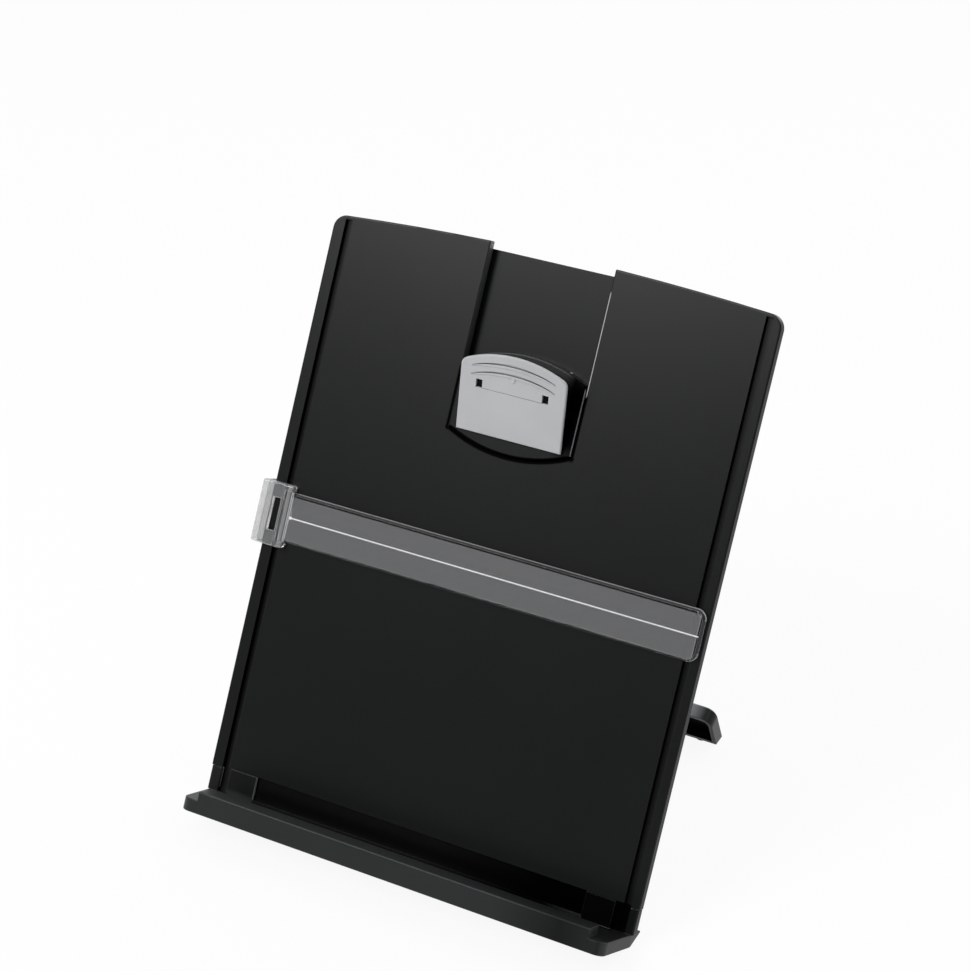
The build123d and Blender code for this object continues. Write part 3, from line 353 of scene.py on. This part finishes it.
def clearAcrylic(name, finish):
    # moulded clear acrylic: the panel shows through it, with a light haze that takes a soft grey
    material, tree = startMaterial(name)
    coords = addNode(tree, "ShaderNodeTexCoord").outputs["Object"]
    axes = panelAxes(tree, coords) if "frosting" in finish or "bars" in finish else None
    haze = addNode(tree, "ShaderNodeTexNoise", {"Vector": coords, "Scale": 1 / (finish["drift"] * mm),
                                                "Detail": patterns["detail"]}).outputs["Fac"]
    gloss = addNode(tree, "ShaderNodeMapRange", {"Value": haze, "From Min": patterns["low"],
                                                 "From Max": patterns["high"], "To Min": finish["rough"][0],
                                                 "To Max": finish["rough"][1]})
    body = addNode(tree, "ShaderNodeMix", {"Factor": haze, "A": linearColour(finish["low"]),
                                           "B": linearColour(finish["high"])},
                   data_type="RGBA").outputs["Result"]
    clear = finish["clear"]
    if "frosting" in finish:
        frosting = finish["frosting"]
        frosted = zoneShare(tree, axes, frosting)
        clear = addNode(tree, "ShaderNodeMix", {"Factor": frosted, "A": clear, "B": frosting["clear"]},
                        data_type="FLOAT").outputs["Result"]
        body = addNode(tree, "ShaderNodeMix", {"Factor": frosted, "A": body,
                                               "B": linearColour(frosting["hex"])},
                       data_type="RGBA").outputs["Result"]
    shader = addNode(tree, "ShaderNodeBsdfPrincipled", {
        "Base Color": body, "Roughness": gloss.outputs["Result"], "IOR": finish["ior"],
        "Specular IOR Level": finish["specular"], "Transmission Weight": clear})
    # painted highlights: a light diffuse colour is mixed in along the edges and in the listed bars, as thin
    # bright lines
    glint = edgeShare(tree, finish["edge"], edges["acrylicFull"], finish["glint"])[1]
    for bar in finish.get("bars", ()):
        share = addNode(tree, "ShaderNodeMath", {0: zoneShare(tree, axes, bar), 1: bar["share"]},
                        operation="MULTIPLY")
        glint = addNode(tree, "ShaderNodeMath", {0: glint, 1: share.outputs[0]},
                        operation="MAXIMUM").outputs[0]
    line = addNode(tree, "ShaderNodeBsdfDiffuse", {"Color": linearColour(finish["glintHex"])})
    lined = addNode(tree, "ShaderNodeMixShader", {0: glint, 1: shader.outputs["BSDF"],
                                                  2: line.outputs["BSDF"]})
    # and it casts only a light shadow
    paths = addNode(tree, "ShaderNodeLightPath").outputs
    letThrough = addNode(tree, "ShaderNodeBsdfTransparent", {"Color": linearColour(finish["shadowHex"])})
    both = addNode(tree, "ShaderNodeMixShader", {0: paths["Is Shadow Ray"], 1: lined.outputs[0],
                                                 2: letThrough.outputs["BSDF"]})
    addNode(tree, "ShaderNodeOutputMaterial", {"Surface": both.outputs[0]})
    return material


bladeHeights = (130.0, 164.0, 0.3)
acrylics = {
    # thick walls round the panel's edge: pale, a little milky, with painted highlights on its rims
    "carriageAcrylic": {"low": "DADBDB", "high": "E6E7E7", "drift": 6, "rough": (0.03, 0.08), "ior": 1.49,
                        "clear": 0.86, "shadowHex": "C8C8C8", "specular": 0.5, "edge": 0.3, "glint": 0.55,
                        "glintHex": "E8E9E9"},
    # the blade's polished bevels, ends and back, with painted highlight lines at its left end and along its
    # top
    "clearAcrylic": {"low": "505252", "high": "585A5A", "drift": 40, "rough": (0.0, 0.02), "ior": 1.49,
                     "clear": 0.9, "shadowHex": "E0E0E0", "specular": 0.03, "edge": 0.25, "glint": 0.75,
                     "glintHex": "E8EAEA",
                     "bars": [{"across": (-107.1, -106.4, 0.12), "upward": bladeHeights, "share": 0.95},
                              {"across": (-110.6, -107.4, 0.3), "upward": bladeHeights, "share": 0.3},
                              {"across": (-104.0, 116.0, 0.3), "upward": (159.95, 161.0, 0.08),
                               "share": 0.28}]},
    # the blade's front face, frosted so that it greys what lies behind, clear round its border, and with a
    # painted highlight line at its right end
    "frostedAcrylic": {"low": "B4B6B6", "high": "BCBEBE", "drift": 40, "rough": (0.0, 0.02), "ior": 1.49,
                       "clear": 0.99, "shadowHex": "C8C8C8", "specular": 0.3, "edge": 0.22, "glint": 0.4,
                       "glintHex": "E8EAEA",
                       "frosting": {"across": (-130.0, 116.6, 0.15), "upward": (130.0, 158.1, 0.15),
                                    "clear": 0.79, "hex": "E0E1E2"},
                       "bars": [{"across": (116.5, 116.9, 0.1), "upward": (136.0, 158.2, 0.2),
                                 "share": 0.3}]},
}

materials = {name: mouldedPart(name, finish) for name, finish in finishes.items()}
materials.update({name: clearAcrylic(name, finish) for name, finish in acrylics.items()})

nodeFinish = {
    "front_panel": "panelAbs", "rear_cover": "blackAbs", "slide_plate": "slideAbs", "clip_base": "padAbs",
    "leg_shell": "footAbs", "tray": "trayAbs", "clip_lever": "leverAbs", "clip_face": "greyAbs",
    "clip_jaw_pad": "rubber", "tray_foot_strip": "rubber", "leg_foot_left": "rubber",
    "leg_foot_right": "rubber", "guide_carriage": "carriageAcrylic", "guide_line": "whiteInk",
    "slide_brake": "drawnSteel", "cover_screws": "drawnSteel", "tray_screws": "drawnSteel",
    "leg_hinge_pin": "drawnSteel", "pin_clip_left": "drawnSteel", "pin_clip_right": "drawnSteel",
    "clip_pin": "drawnSteel", "clip_spring_left": "drawnSteel", "clip_spring_right": "drawnSteel",
}
for node, finish in nodeFinish.items():
    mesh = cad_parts[node].data
    mesh.materials.clear()
    mesh.materials.append(materials[finish])
print("finishes given")

guideBlade = {
    "frontDepth": -3.9,  # mm, the blade's front face from the panel's face
    "sameFace": 0.05,
    "facing": 0.99,
    "mergeWithin": 0.002,
    "materials": ("clearAcrylic", "frostedAcrylic"),
}


def makeGuideBlade():
    # the moulded bar with its front face frosted; its bevels, ends and back stay polished and clear
    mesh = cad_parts["guide_blade"].data.copy()
    mesh.name = "guideBlade"
    mesh.materials.clear()
    for name in guideBlade["materials"]:
        mesh.materials.append(materials[name])
    work = bmesh.new()
    work.from_mesh(mesh)
    bmesh.ops.remove_doubles(work, verts=work.verts, dist=guideBlade["mergeWithin"] * mm)
    inward = Vector(panelFrame["inward"])
    frontAt = (guideBlade["frontDepth"] + panelFrame["faceDepth"]) * mm
    for face in work.faces:
        face.normal_update()
        off = abs(face.calc_center_median().dot(inward) - frontAt)
        frosted = off < guideBlade["sameFace"] * mm and face.normal.dot(inward) < -guideBlade["facing"]
        face.material_index = 1 if frosted else 0
    work.to_mesh(mesh)
    work.free()
    blade = bpy.data.objects.new("guideBlade", mesh)
    bpy.context.scene.collection.objects.link(blade)
    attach(blade, "guide_arm")
    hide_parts("guide_blade")
    print("guide blade:", len(mesh.polygons), "faces")


makeGuideBlade()

screws = {
    "sizes": {  # mm
        "Head Radius": 2.4,
        "Rim Height": 0.5,
        "Head Height": 1.4,
        "Shank Radius": 1.2,
        "Shank Overlap": 0.2,  # how far the shank runs up into the head
        "Recess Width": 0.7,
        "Recess Length": 2.7,
        "Recess Depth": 0.75,
        "Dome Share": 0.96,  # the dome starts just inside the rim, so that no faces lie on each other
        "Arm Share": 1.06,  # and the recess's second arm is deeper than its first
    },
    "turnSeed": 7,
    "rimSides": 40,
    "domeRings": 16,
    "shankSides": 24,
    "sets": {  # each seat is mm from the panel's face to under the head, and the places form a grid
        "coverScrews": {"node": "cover_screws", "seat": 8.6, "shank": 6.3, "across": (-41.3, 41.3),
                        "upward": (55.0, 162.0, 290.0)},
        "trayScrews": {"node": "tray_screws", "seat": 7.4, "shank": 5.1,
                       "across": (-90.0, -30.0, 30.0, 90.0), "upward": (5.7,)},
    },
}


def panelPoint(across, depth, height):
    # from millimetres on the upright panel to metres where it stands
    face = Vector((across, panelFrame["faceY"], panelFrame["faceZ"]))
    return (face + depth * Vector(panelFrame["inward"]) + height * Vector(panelFrame["upward"])) * mm


def makeScrewTree():
    # one pan-head screw in millimetres, its seat at height 0, set on each point and turned at random;
    # the recess's arms are centred on the top of the head, so they are twice as tall as they are deep
    tree = bpy.data.node_groups.new("panHeadScrews", "GeometryNodeTree")
    lengths = (*screws["sizes"], "Shank Length")
    kinds = {"Geometry": "NodeSocketGeometry", **{name: "NodeSocketFloat" for name in lengths},
             "Tilt": "NodeSocketVector", "Turn Seed": "NodeSocketInt", "Material": "NodeSocketMaterial"}
    for name, kind in kinds.items():
        tree.interface.new_socket(name=name, in_out="INPUT", socket_type=kind)
    tree.interface.new_socket(name="Geometry", in_out="OUTPUT", socket_type="NodeSocketGeometry")
    given = addNode(tree, "NodeGroupInput").outputs
    sizes = {name: given[name] for name in lengths}
    for name, operation, first, second in (
            ("Rim Middle", "MULTIPLY", "Rim Height", 0.5),
            ("Dome Radius", "MULTIPLY", "Head Radius", "Dome Share"),
            ("Dome Rise", "SUBTRACT", "Head Height", "Rim Height"),
            ("Flatness", "DIVIDE", "Dome Rise", "Head Radius"),
            ("Shank Height", "ADD", "Shank Length", "Shank Overlap"),
            ("Half Shank", "MULTIPLY", "Shank Height", 0.5),
            ("Shank Middle", "SUBTRACT", "Shank Overlap", "Half Shank"),
            ("First Arm", "MULTIPLY", "Recess Depth", 2.0),
            ("Second Arm", "MULTIPLY", "First Arm", "Arm Share")):
        terms = {0: sizes.get(first, first), 1: sizes.get(second, second)}
        sizes[name] = addNode(tree, "ShaderNodeMath", terms, operation=operation).outputs[0]
    rim = addNode(tree, "GeometryNodeMeshCylinder", {"Vertices": screws["rimSides"],
                                                     "Radius": sizes["Head Radius"],
                                                     "Depth": sizes["Rim Height"]})
    dome = addNode(tree, "GeometryNodeMeshUVSphere", {"Segments": screws["rimSides"],
                                                      "Rings": screws["domeRings"],
                                                      "Radius": sizes["Dome Radius"]})
    shank = addNode(tree, "GeometryNodeMeshCylinder", {"Vertices": screws["shankSides"],
                                                       "Radius": sizes["Shank Radius"],
                                                       "Depth": sizes["Shank Height"]})
    solid = addNode(tree, "GeometryNodeMeshBoolean", operation="UNION")
    for part, rise, stretch in ((rim, "Rim Middle", 1.0), (dome, "Rim Height", sizes["Flatness"]),
                                (shank, "Shank Middle", 1.0)):
        shift = addNode(tree, "ShaderNodeCombineXYZ", {"Z": sizes[rise]})
        flatten = addNode(tree, "ShaderNodeCombineXYZ", {"X": 1.0, "Y": 1.0, "Z": stretch})
        moved = addNode(tree, "GeometryNodeTransform", {"Geometry": part.outputs["Mesh"],
                                                        "Translation": shift.outputs[0],
                                                        "Scale": flatten.outputs[0]})
        tree.links.new(moved.outputs[0], solid.inputs["Mesh 2"])
    recess = addNode(tree, "GeometryNodeMeshBoolean", operation="UNION")
    for wide, long, deep in (("Recess Width", "Recess Length", "First Arm"),
                             ("Recess Length", "Recess Width", "Second Arm")):
        size = addNode(tree, "ShaderNodeCombineXYZ", {"X": sizes[wide], "Y": sizes[long], "Z": sizes[deep]})
        arm = addNode(tree, "GeometryNodeMeshCube", {"Size": size.outputs[0]})
        shift = addNode(tree, "ShaderNodeCombineXYZ", {"Z": sizes["Head Height"]})
        moved = addNode(tree, "GeometryNodeTransform", {"Geometry": arm.outputs["Mesh"],
                                                        "Translation": shift.outputs[0]})
        tree.links.new(moved.outputs[0], recess.inputs["Mesh 2"])
    screw = addNode(tree, "GeometryNodeMeshBoolean", {"Mesh 1": solid.outputs[0],
                                                      "Mesh 2": recess.outputs[0]}, operation="DIFFERENCE")
    scaled = addNode(tree, "GeometryNodeTransform", {"Geometry": screw.outputs[0], "Scale": (mm, mm, mm)})
    placed = addNode(tree, "GeometryNodeInstanceOnPoints", {"Points": given["Geometry"],
                                                            "Instance": scaled.outputs[0],
                                                            "Rotation": given["Tilt"]})
    turn = addNode(tree, "FunctionNodeRandomValue", {"Max": 2 * math.pi, "Seed": given["Turn Seed"]},
                   data_type="FLOAT")
    spin = addNode(tree, "ShaderNodeCombineXYZ", {"Z": turn.outputs[1]})
    turned = addNode(tree, "GeometryNodeRotateInstances", {"Instances": placed.outputs[0],
                                                           "Rotation": spin.outputs[0], "Local Space": True})
    real = addNode(tree, "GeometryNodeRealizeInstances", {"Geometry": turned.outputs[0]})
    coloured = addNode(tree, "GeometryNodeSetMaterial", {"Geometry": real.outputs[0],
                                                         "Material": given["Material"]})
    addNode(tree, "NodeGroupOutput", {0: coloured.outputs[0]})
    return tree


def makeScrews():
    tree = makeScrewTree()
    sockets = {item.name: item.identifier for item in tree.interface.items_tree if item.in_out == "INPUT"}
    for name, group in screws["sets"].items():
        places = [panelPoint(across, group["seat"], upward)
                  for across in group["across"] for upward in group["upward"]]
        points = bpy.data.meshes.new(name + "Places")
        points.from_pydata(places, [], [])
        holder = bpy.data.objects.new(name + "Places", points)
        bpy.context.scene.collection.objects.link(holder)
        modifier = holder.modifiers.new("screws", "NODES")
        modifier.node_group = tree
        values = {**screws["sizes"], "Shank Length": group["shank"], "Turn Seed": screws["turnSeed"],
                  "Tilt": (-math.pi / 2 - tilt, 0.0, 0.0), "Material": materials["drawnSteel"]}
        for title, value in values.items():
            modifier[sockets[title]] = value
        bpy.context.view_layer.update()
        evaluated = holder.evaluated_get(bpy.context.evaluated_depsgraph_get())
        mesh = bpy.data.meshes.new_from_object(evaluated)
        mesh.name = name
        bpy.data.objects.remove(holder)
        piece = bpy.data.objects.new(name, mesh)
        bpy.context.scene.collection.objects.link(piece)
        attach(piece, "easel")
        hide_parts(group["node"])
        print(name + ":", len(mesh.polygons), "faces")


makeScrews()

studio = {
    "floorHex": "F4F4F3",
    "floorSize": 40.0,  # metres
    "floorRoughness": 0.9,
    "floorSpecular": 0.1,
    "floorGlow": 0.92,  # how much of the floor is plain white to the camera and in reflections
    "worldHex": "FBFCFF",
    "roomSide": 0.1,  # brightness of the dim room behind the camera
    "sweepSide": 1.0,  # and of the white sweep behind the object
    "sweepEdge": 0.5,  # how far to either side of the middle the one turns into the other
    "wallTop": (0.04, 0.16),  # height over which the low white wall fades out, as a share of the way up
    "aim": (0, 0.08, 0.14),  # where the lamps point
    "lamps": {
        "key": {"place": (-0.85, -1.1, 1.75), "size": 1.0, "watts": 24.0},
        "rim": {"place": (1.1, 1.2, 1.5), "size": 1.2, "watts": 9.0},
    },
}


def makeWorld():
    # a dim room in front, a white sweep behind and a low white wall all round
    world = bpy.data.worlds.new("studio")
    bpy.context.scene.world = world
    world.use_nodes = True
    tree = world.node_tree
    tree.nodes.clear()
    towards = addNode(tree, "ShaderNodeTexCoord").outputs["Generated"]
    split = addNode(tree, "ShaderNodeSeparateXYZ", {0: towards})
    depth = addNode(tree, "ShaderNodeMapRange", {"Value": split.outputs["Y"],
                                                 "From Min": -studio["sweepEdge"],
                                                 "From Max": studio["sweepEdge"],
                                                 "To Min": studio["roomSide"],
                                                 "To Max": studio["sweepSide"]},
                    interpolation_type="SMOOTHSTEP")
    wall = addNode(tree, "ShaderNodeMapRange", {"Value": split.outputs["Z"],
                                                "From Min": studio["wallTop"][0],
                                                "From Max": studio["wallTop"][1],
                                                "To Min": studio["sweepSide"],
                                                "To Max": studio["roomSide"]},
                   interpolation_type="SMOOTHSTEP")
    bright = addNode(tree, "ShaderNodeMath", {0: depth.outputs[0], 1: wall.outputs[0]}, operation="MAXIMUM")
    soft = addNode(tree, "ShaderNodeBackground", {"Color": linearColour(studio["worldHex"]),
                                                  "Strength": bright.outputs[0]})
    addNode(tree, "ShaderNodeOutputWorld", {"Surface": soft.outputs[0]})


def makeFloor():
    half = studio["floorSize"] / 2
    mesh = bpy.data.meshes.new("floor")
    mesh.from_pydata([(-half, -half, 0), (half, -half, 0), (half, half, 0), (-half, half, 0)], [],
                     [(0, 1, 2, 3)])
    floor = bpy.data.objects.new("floor", mesh)
    bpy.context.scene.collection.objects.link(floor)
    # matt pale paper that keeps the object's shadow, and is nearly white to the camera and in reflections
    material, tree = startMaterial("paleFloor")
    paths = addNode(tree, "ShaderNodeLightPath").outputs
    seen = paths["Is Camera Ray"]
    for kind in ("Is Glossy Ray", "Is Transmission Ray"):
        seen = addNode(tree, "ShaderNodeMath", {0: seen, 1: paths[kind]}, operation="MAXIMUM").outputs[0]
    share = addNode(tree, "ShaderNodeMath", {0: seen, 1: studio["floorGlow"]}, operation="MULTIPLY")
    matt = addNode(tree, "ShaderNodeBsdfPrincipled", {"Base Color": linearColour(studio["floorHex"]),
                                                      "Roughness": studio["floorRoughness"],
                                                      "Specular IOR Level": studio["floorSpecular"]})
    glow = addNode(tree, "ShaderNodeEmission", {"Color": linearColour("FFFFFF"), "Strength": 1.0})
    both = addNode(tree, "ShaderNodeMixShader", {0: share.outputs[0], 1: matt.outputs[0], 2: glow.outputs[0]})
    addNode(tree, "ShaderNodeOutputMaterial", {"Surface": both.outputs[0]})
    mesh.materials.append(material)


def makeLamps():
    for name, settings in studio["lamps"].items():
        lamp = bpy.data.lights.new(name, "AREA")
        lamp.shape = "DISK"
        lamp.size = settings["size"]
        lamp.energy = settings["watts"]
        holder = bpy.data.objects.new(name, lamp)
        bpy.context.scene.collection.objects.link(holder)
        holder.location = settings["place"]
        aim = Vector(studio["aim"]) - Vector(settings["place"])
        holder.rotation_euler = aim.to_track_quat("-Z", "Y").to_euler()


camera = {
    "place": (451.08, -781.13, 795.10),  # mm, from a fit to the panel's corners and grooves
    "right": (0.886392, 0.462902, -0.005498),
    "up": (-0.244089, 0.477421, 0.844091),
    "lens": 88.81,
    "sensor": 36.0,
    "clip": (0.05, 60),  # metres
}


def makeCamera():
    lens = bpy.data.cameras.new("viewpoint")
    lens.sensor_fit = "HORIZONTAL"
    lens.sensor_width = camera["sensor"]
    lens.lens = camera["lens"]
    lens.clip_start, lens.clip_end = camera["clip"]
    holder = bpy.data.objects.new("viewpoint", lens)
    bpy.context.scene.collection.objects.link(holder)
    right, up = Vector(camera["right"]), Vector(camera["up"])
    turn = Matrix((right, up, right.cross(up))).transposed().to_4x4()
    holder.matrix_world = Matrix.Translation(Vector(camera["place"]) * mm) @ turn
    bpy.context.scene.camera = holder


bpy.context.scene.view_settings.view_transform = "Standard"
makeWorld()
makeFloor()
makeLamps()
makeCamera()
print("studio ready")
